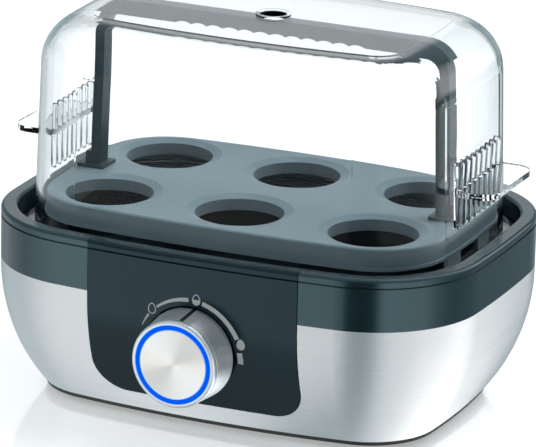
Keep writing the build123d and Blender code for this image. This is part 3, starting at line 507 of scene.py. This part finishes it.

# %% [markdown]
# ### Rack and bowl
#
# The tray and its handle are satin plastic with a finer grain than the base, the tray grey
# and the handle nearly black. The bowl is near black and hardly shines.

# %% Rack and bowl materials
tray = finish("tray plastic", moulded_surface, cool_gloss(0.3),
              Color=(0.128, 0.176, 0.2, 1), Roughness=0.34, Grain_Scale=2400,
              Grain_Height=0.15, Patches=0.1)
handle = finish("handle plastic", moulded_surface, cool_gloss(0.35),
                Color=(0.012, 0.026, 0.032, 1), Roughness=0.33, Grain_Scale=2400,
                Grain_Height=0.15, Patches=0.1)
bowl = finish("bowl coating", moulded_surface, {"Specular IOR Level": 0.1},
              Color=(0.002, 0.005, 0.007, 1), Roughness=0.3, Grain_Scale=1500,
              Grain_Height=0.15, Patches=0.1)
print("rack and bowl:", tray.name, handle.name, bowl.name)

# %% [markdown]
# ### The inside
#
# What sits in the closed housing is seen only when it is opened, but gets its own finish all
# the same: cast, brushed and turned metals, then rubber, board and moulded plastics. They
# come from the same two groups, so each is only a line of values.

# %% Inner metals
casting = finish("cast spreader", moulded_surface, METAL, Color=(0.6, 0.61, 0.62, 1),
                 Roughness=0.5, Grain_Scale=1200, Grain_Height=0.6, Patches=0.2)
sheath = finish("heated sheath", brushed_surface, METAL, Color=(0.24, 0.22, 0.21, 1),
                Lines=(300, 300, 300), Low_Roughness=0.35, High_Roughness=0.6,
                Line_Height=0.2, Line_Tone=0.5)
brass = finish("turned brass", brushed_surface, METAL, Color=(0.72, 0.55, 0.26, 1),
               Lines=(200, 200, 2500), Low_Roughness=0.2, High_Roughness=0.35,
               Line_Height=0.3, Line_Tone=0.15)
zinc = finish("zinc plate", brushed_surface, METAL, Color=(0.62, 0.64, 0.66, 1),
              Lines=(900, 900, 900), Low_Roughness=0.28, High_Roughness=0.45,
              Line_Height=0.2, Line_Tone=0.2)
tin = finish("tinned case", brushed_surface, METAL, Color=(0.75, 0.75, 0.75, 1),
             Lines=(700, 700, 700), Low_Roughness=0.2, High_Roughness=0.35,
             Line_Height=0.15, Line_Tone=0.1)
print("inner metals:", casting.name, sheath.name, brass.name, zinc.name, tin.name)

# %% Inner rubber and plastics
seal = finish("seal rubber", moulded_surface, {}, Color=(0.012, 0.014, 0.015, 1),
              Roughness=0.6, Grain_Scale=1200, Grain_Height=0.3, Patches=0.1)
circuit = finish("circuit board", moulded_surface, {"Coat Weight": 0.3},
                 Color=(0.012, 0.09, 0.035, 1), Roughness=0.35, Grain_Scale=700,
                 Grain_Height=0.2, Patches=0.1)
black = finish("black moulding", moulded_surface, {}, Color=(0.015, 0.015, 0.016, 1),
               Roughness=0.42, Grain_Scale=2200, Grain_Height=0.2, Patches=0.1)
white = finish("white moulding", moulded_surface, {}, Color=(0.74, 0.73, 0.70, 1),
               Roughness=0.45, Grain_Scale=2200, Grain_Height=0.15, Patches=0.1)
relay_blue = finish("relay case", moulded_surface, {}, Color=(0.02, 0.06, 0.24, 1),
                    Roughness=0.3, Grain_Scale=2200, Grain_Height=0.1, Patches=0.1)
lamp_blue = finish("lamp lens", moulded_surface, {"Transmission Weight": 0.5},
                   Color=(0.35, 0.55, 0.95, 1), Roughness=0.12, Grain_Scale=2200,
                   Grain_Height=0.05, Patches=0.05)
print("inner plastics:", seal.name, circuit.name, black.name, white.name,
      relay_blue.name, lamp_blue.name)

# %% [markdown]
# ## Dress the solids
#
# One list says which finish each node wears. A node that the list forgets would keep the
# flat colour it was packed with, so the cell prints which ones are left.

# %% Dress the solids
finishes = {
    steel: ["steel_shell"], collar: ["trim_ring"], panel: ["control_panel"],
    base: ["base_plate"], rubber: ["rubber_feet", "cord_gland"],
    sleeve: ["knob_sleeve"], spun: ["knob_face"], ring: ["knob_ring"],
    clear_lid: ["lid"], clear_guide: ["light_guide"], tray: ["egg_rack"],
    handle: ["rack_handle"], bowl: ["heating_bowl"], seal: ["bowl_seal"],
    casting: ["heat_spreader"], sheath: ["heating_element"],
    brass: ["element_pins", "standoffs", "dial_spindle"],
    zinc: ["element_straps", "strap_screws", "base_screws", "panel_screws", "board_screws",
           "hub_clip"],
    tin: ["temperature_sensor", "thermal_fuse"],
    circuit: ["control_board", "power_board"],
    black: ["dial_switch", "buzzer", "control_chip", "supply_capacitor", "gland_locknut",
            "knob_core"],
    white: ["switch_plunger", "terminal_block"],
    relay_blue: ["relay"], lamp_blue: ["status_leds"],
}
dressed = []
for material, names in finishes.items():
    for name in names:
        nodes[name].data.materials.clear()
        nodes[name].data.materials.append(material)
        dressed.append(name)
print("dressed", len(dressed), "of", len(nodes), "left:", sorted(set(nodes) - set(dressed)))

# %% [markdown]
# ## Print round the dial
#
# The scale is printed on the curved panel. A flat drawing would float or sink, so every
# corner of the drawing is dropped straight back onto the panel, and the print then gets a
# thickness of a few hundredths of a millimetre, as screen print has. Drawing it as a mesh
# keeps its edges sharp at any distance.

# %% Dropping a drawing onto the panel
PRINT_LIFT = 0.00003
PRINT_THICKNESS = 0.00006
DRAWING_PLACE = -0.2  # well in front of the panel
STRAIGHT_BACK = Vector((0, 1, 0))
panel_mesh = nodes["control_panel"].data
panel_tree = BVHTree.FromPolygons(
    [vertex.co for vertex in panel_mesh.vertices],
    [polygon.vertices for polygon in panel_mesh.polygons])
ink = finish("scale ink", moulded_surface, {}, Color=(0.40, 0.41, 0.40, 1), Roughness=0.5,
             Grain_Scale=3500, Grain_Height=0.1, Patches=0.1)


def on_panel(x, z):
    """The point of the panel's front that lies straight behind a point of the drawing."""
    point = panel_tree.ray_cast(Vector((x, DRAWING_PLACE, z)), STRAIGHT_BACK)[0]
    return point + Vector((0, -PRINT_LIFT, 0))


def print_piece(name, points, faces):
    """A printed shape: drawing points in metres and the faces between them."""
    mesh = bpy.data.meshes.new(name)
    mesh.from_pydata([on_panel(x, z) for x, z in points], [], faces)
    mesh.update()
    piece = bpy.data.objects.new(name, mesh)
    bpy.context.scene.collection.objects.link(piece)
    thickness = piece.modifiers.new("ink", "SOLIDIFY")
    thickness.thickness = PRINT_THICKNESS
    thickness.offset = 0
    piece.data.materials.append(ink)
    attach(piece, "base")
    return piece


print("print lies", PRINT_LIFT * 1000, "mm in front of the panel")

# %% [markdown]
# The scale is made of curved bands between three egg symbols: an outline, a half filled one
# and a full one. Each is a strip of corners in pairs, so one rule makes the faces of all.

# %% Shapes of the scale
EGG_NARROWING = 0.16  # how much an egg draws in towards its top
NEARLY_QUARTER = math.radians(89)  # a full quarter turn would close the tip to a point


def on_dial(angle, distance):
    """A point of the drawing, by its angle in degrees and its distance from the axis."""
    turn = math.radians(angle)
    return distance * math.cos(turn), DIAL_HEIGHT + distance * math.sin(turn)


def strip_faces(steps):
    """The faces of a strip whose corners come in pairs."""
    return [(2 * step, 2 * step + 1, 2 * step + 3, 2 * step + 2) for step in range(steps)]


def band_points(start, end, radius, width_start, width_end, steps=24):
    """A curved band round the dial; angles in degrees, lengths in metres."""
    points = []
    for step in range(steps + 1):
        share = step / steps
        half = (width_start + (width_end - width_start) * share) / 2
        for distance in (radius - half, radius + half):
            points.append(on_dial(start + (end - start) * share, distance))
    return points, strip_faces(steps)


def egg_points(angle, radius, width, height, border, steps=28):
    """An egg's outline as a closed strip; the blunt end is down."""
    middle_x, middle_z = on_dial(angle, radius)
    points = []
    for step in range(steps):
        turn = 2 * math.pi * step / steps
        narrowing = 1 - EGG_NARROWING * math.sin(turn)
        for shrink in (0, border):
            points.append((middle_x + (width / 2 - shrink) * math.cos(turn) * narrowing,
                           middle_z + (height / 2 - shrink) * math.sin(turn)))
    faces = []
    for step in range(steps):
        after = (step + 1) % steps
        faces.append((2 * step, 2 * after, 2 * after + 1, 2 * step + 1))
    return points, faces


def half_egg(angle, radius, width, height, steps=12):
    """The filled lower half of an egg."""
    middle_x, middle_z = on_dial(angle, radius)
    points = []
    for step in range(steps + 1):
        turn = NEARLY_QUARTER * (step / steps - 1)
        half = width / 2 * math.cos(turn) * (1 - EGG_NARROWING * math.sin(turn))
        for side in (-1, 1):
            points.append((middle_x + side * half, middle_z + height / 2 * math.sin(turn)))
    return points, strip_faces(steps)


print("eggs draw in by", round(100 * EGG_NARROWING), "percent towards the top")

# %% Bands and eggs of the scale
BAND_RADIUS = 0.0217
END_RADIUS = 0.0209
EGG_RADIUS = 0.0224
EGG_WIDTH, EGG_HEIGHT = 0.0034, 0.0045
EGG_SIZE = (EGG_WIDTH, EGG_HEIGHT)
EGG_LINE = 0.0004
SOFT_ANGLE, MEDIUM_ANGLE, HARD_ANGLE = 134.6, 82.6, 17.8
scale_bands = [  # name, first and last angle, radius, first and last width
    ("scale_start", 157, 142, BAND_RADIUS, 0.0003, 0.0009),
    ("scale_first_band", 129, 91, BAND_RADIUS, 0.0009, 0.0016),
    ("scale_second_band", 75.8, 24, BAND_RADIUS, 0.0017, 0.0019),
    ("scale_end", 9, -4, END_RADIUS, 0.0022, 0.0022),
]
for name, *measures in scale_bands:
    print_piece(name, *band_points(*measures))
print_piece("scale_soft_egg", *egg_points(SOFT_ANGLE, EGG_RADIUS, *EGG_SIZE, EGG_LINE))
print_piece("scale_medium_egg", *egg_points(MEDIUM_ANGLE, EGG_RADIUS, *EGG_SIZE, EGG_LINE))
print_piece("scale_medium_fill", *half_egg(MEDIUM_ANGLE, EGG_RADIUS, *EGG_SIZE))
print_piece("scale_hard_egg", *egg_points(HARD_ANGLE, EGG_RADIUS, *EGG_SIZE, EGG_WIDTH / 2))
print("scale:", len(scale_bands), "bands and 3 eggs")

# %% [markdown]
# ## Studio
#
# The object stands on a white, glossy table. For the camera, and through the clear lid, the
# table is lifted towards plain white. The lift grows with the distance from the object, so
# its shadow and its soft mirror image stay close to it and fade out further away, and the
# smaller lift near it is a painted shade round the object. Light that falls on the object gets
# none of that lift. A Light Path node tells the rays apart.

# %% Lines of sight
def sight_lines(tree):
    """Three switches: a ray that sees straight, also through clear plastic; a ray that comes
    from a mirror image; and a ray of the camera itself."""
    paths = make_node(tree, "ShaderNodeLightPath")
    scattered = math_node(tree, "MINIMUM", paths.outputs["Diffuse Depth"], 1.0)
    mirrored = math_node(tree, "MINIMUM", paths.outputs["Glossy Depth"], 1.0)
    clean = math_node(tree, "SUBTRACT", 1.0, scattered)
    direct = math_node(tree, "SUBTRACT", 1.0, mirrored)
    through = paths.outputs["Is Transmission Ray"]
    seen = math_node(tree, "MAXIMUM", paths.outputs["Is Camera Ray"], through)
    shiny = math_node(tree, "MAXIMUM", paths.outputs["Is Glossy Ray"], through)
    straight = math_node(tree, "MULTIPLY", math_node(tree, "MULTIPLY", seen, clean), direct)
    reflected = math_node(tree, "MULTIPLY", math_node(tree, "MULTIPLY", shiny, clean), mirrored)
    return straight, reflected, paths.outputs["Is Camera Ray"]


print("three switches for the table and the world")

# %% Table
TABLE_REACH = 0.8
FADE_DISTANCES = (0.11, 0.26)
TABLE_LIFTS = (0.5, 0.78)
TABLE_SHINE = {"Coat Weight": 1.0, "Coat Roughness": 0.1, "Coat IOR": 3.0}


def build_floor():
    """A white table whose shadow and mirror image fade out with distance, with painted shade near
    the object where it is lifted less.
    """
    mesh = bpy.data.meshes.new("table top")
    corners = [(x * TABLE_REACH, y * TABLE_REACH, 0)
               for x, y in ((-1, -1), (1, -1), (1, 1), (-1, 1))]
    mesh.from_pydata(corners, [], [(0, 1, 2, 3)])
    made, tree, shader = new_material("table top")
    surface = add_group(tree, moulded_surface, Color=(0.70, 0.702, 0.705, 1), Roughness=0.3,
                        Grain_Scale=300, Patches=0.04)
    distance = make_node(tree, "ShaderNodeVectorMath", operation="LENGTH")
    plug(tree, distance.inputs[0], object_place(tree))
    # Painted shade: less lift near the object keeps the table darker round it, shadow or not.
    fade = make_node(tree, "ShaderNodeMapRange", interpolation_type="SMOOTHSTEP")
    plug_all(tree, fade, {
        "Value": distance.outputs["Value"],
        "From Min": FADE_DISTANCES[0], "From Max": FADE_DISTANCES[1],
        "To Min": TABLE_LIFTS[0], "To Max": TABLE_LIFTS[1]})
    lift = math_node(tree, "MULTIPLY", sight_lines(tree)[0], fade.outputs[0])
    plug_all(tree, shader, {
        "Base Color": surface.outputs["Color"], "Roughness": surface.outputs["Roughness"],
        "Emission Color": (1, 1, 1, 1), "Emission Strength": lift, **TABLE_SHINE})
    floor = bpy.data.objects.new("table_top", mesh)
    floor.data.materials.append(made)
    bpy.context.scene.collection.objects.link(floor)
    floor.visible_glossy = False
    return floor


floor = build_floor()
print("floor:", floor.name)

# %% [markdown]
# ## World
#
# Shiny pieces are shaped by what they mirror, so the world is a studio drawn in lists. A
# bearing is counted from the front, positive to the right, and each has a brightness. What
# upright walls mirror lies a little below eye level and has a list of its own, with a dark
# gap at the front right that draws the dark strip down the rounded corner. The two others
# serve what leans back, such as the bead of the collar, and what leans over, such as the
# lower belly. Painted cards would do the same, but a list is easier to tune.

# %% Lists of the studio
LEVEL_BAND = [
    (-180, 0.5), (-126, 0.5), (-118, 0.8), (-75, 0.8), (-60, 1.2), (-45, 1.5), (-34, 1.75),
    (-17, 1.6), (-12, 1.35), (-5, 1.5), (-3, 0.03), (29, 0.03), (34, 1.8), (62, 1.55),
    (78, 1.5), (90, 0.8), (110, 0.35), (165, 0.35), (180, 0.4),
]
ABOVE_BAND = [
    (-180, 0.4), (-168, 0.4), (-163, 0.85), (-149, 0.85), (-144, 0.4), (-118, 0.5), (-60, 0.6),
    (-40, 0.65), (-8, 0.6), (-2, 0.35), (24, 0.35), (34, 0.7), (60, 0.7), (80, 0.7), (112, 0.9),
    (140, 1.9), (152, 2.0), (165, 0.4), (180, 0.4),
]
BELOW_BAND = [
    (-180, 0.5), (-118, 0.6), (-60, 0.95), (-40, 1.15), (-8, 1.1), (-2, 0.8), (24, 0.8),
    (34, 0.75), (60, 0.75), (80, 1.0), (110, 2.6), (130, 5.0), (160, 3.0), (180, 0.5),
]
print("bearings:", len(LEVEL_BAND), "level,", len(ABOVE_BAND), "above,", len(BELOW_BAND), "below")

# %% [markdown]
# More lists go by height, from -1 straight down to 1 straight up: where the level list
# counts, how the two others dim and brighten, and the backdrop that clear plastic shows.
# The backdrop darkens upward, which draws the top edges of the lid. Diffuse light is an even
# grey, the camera itself sees plain white, and dim parts are bluish, as shade is.

# %% Heights of the studio
LEVEL_PLACE = [(-1.0, 0), (-0.55, 0), (-0.42, 1), (-0.04, 1), (0.06, 0), (1.0, 0)]
BELOW_START = -0.2
HEIGHT_LEVELS = [
    (-1.0, 0.5), (-0.75, 0.75), (-0.45, 0.95), (-0.2, 1.0), (0.6, 1.0), (0.86, 1.3), (1.0, 1.3),
]
BACKDROP = [(-1.0, 0.6), (-0.75, 0.95), (-0.6, 1.0), (0.1, 1.0), (0.5, 0.35), (1.0, 0.35)]
DIFFUSE_LEVEL = 0.8
DIM_COLOUR = (0.5, 0.86, 1.0, 1)
WHITE = (1, 1, 1, 1)
print("diffuse light:", DIFFUSE_LEVEL)

# %% Ramps and choices
def brightness_ramp(tree, value, reach, levels):
    """A ramp of grey levels over a value that runs from -reach to reach."""
    place = make_node(tree, "ShaderNodeMapRange")
    plug_all(tree, place, {"Value": value, "From Min": -reach, "From Max": reach})
    ramp = make_node(tree, "ShaderNodeValToRGB")
    plug(tree, ramp.inputs["Fac"], place.outputs[0])
    elements = ramp.color_ramp.elements
    for index, (position, level) in enumerate(levels):
        share = (position + reach) / (2 * reach)
        element = elements[index] if index < 2 else elements.new(share)
        element.position = share
        element.color = (level, level, level, 1)
    return ramp.outputs[0]


def choose(tree, switch, otherwise, chosen):
    """One value or another, by a switch that is nought or one."""
    mix = make_node(tree, "ShaderNodeMix", data_type="FLOAT")
    plug_all(tree, mix, {"Factor": switch, "A": otherwise, "B": chosen})
    return mix.outputs[0]


print("ramps and choices ready")

# %% World
def build_world():
    """The studio that the lists describe."""
    world = bpy.data.worlds.new("white studio")
    bpy.context.scene.world = world
    world.use_nodes = True
    tree = world.node_tree
    direction = make_node(tree, "ShaderNodeTexCoord").outputs["Generated"]
    split = make_node(tree, "ShaderNodeSeparateXYZ")
    plug(tree, split.inputs[0], direction)
    forward = math_node(tree, "MULTIPLY", split.outputs["Y"], -1.0)
    bearing = math_node(tree, "MULTIPLY",
                        math_node(tree, "ARCTAN2", split.outputs["X"], forward),
                        180 / math.pi)
    height = split.outputs["Z"]
    upper = math_node(tree, "GREATER_THAN", height, BELOW_START)
    around = choose(tree, upper, brightness_ramp(tree, bearing, 180, BELOW_BAND),
                    brightness_ramp(tree, bearing, 180, ABOVE_BAND))
    elsewhere = math_node(tree, "MULTIPLY", around,
                          brightness_ramp(tree, height, 1, HEIGHT_LEVELS))
    mirrored = choose(tree, brightness_ramp(tree, height, 1, LEVEL_PLACE), elsewhere,
                      brightness_ramp(tree, bearing, 180, LEVEL_BAND))
    straight, reflected, camera_ray = sight_lines(tree)
    level = choose(tree, reflected, DIFFUSE_LEVEL, mirrored)
    level = choose(tree, straight, level, brightness_ramp(tree, height, 1, BACKDROP))
    level = choose(tree, camera_ray, level, 1.0)
    plug_all(tree, tree.nodes["Background"], {
        "Strength": level, "Color": mix_colours(tree, level, DIM_COLOUR, WHITE)})
    world.cycles.sampling_method = "NONE"
    return world


world = build_world()
print("world:", world.name)

# %% [markdown]
# ## Lamps
#
# The world alone would light everything evenly, so two large lamps give it form: a strong
# one behind on the right, high up, whose shadow falls to the front left, and a weak one at
# the front left that opens the shadows. Neither is mirrored, or its square would show on the
# lid and the knob.

# %% Lamps
LAMP_TARGET = Vector((0, 0, 0.06))


def soft_lamp(name, place, size, power):
    """A square lamp that looks at the object and isn't mirrored in it; power in watts."""
    data = bpy.data.lights.new(name, "AREA")
    data.size = size
    data.energy = power
    lamp = bpy.data.objects.new(name, data)
    lamp.location = place
    lamp.rotation_euler = (LAMP_TARGET - Vector(place)).to_track_quat("-Z", "Y").to_euler()
    lamp.visible_glossy = False
    bpy.context.scene.collection.objects.link(lamp)
    return lamp


lamps = [soft_lamp("key lamp", (0.7, 0.6, 1.7), 1.0, 23),
         soft_lamp("fill lamp", (-1.3, -1.2, 1.2), 0.8, 4)]
print("lamps:", [lamp.name for lamp in lamps])
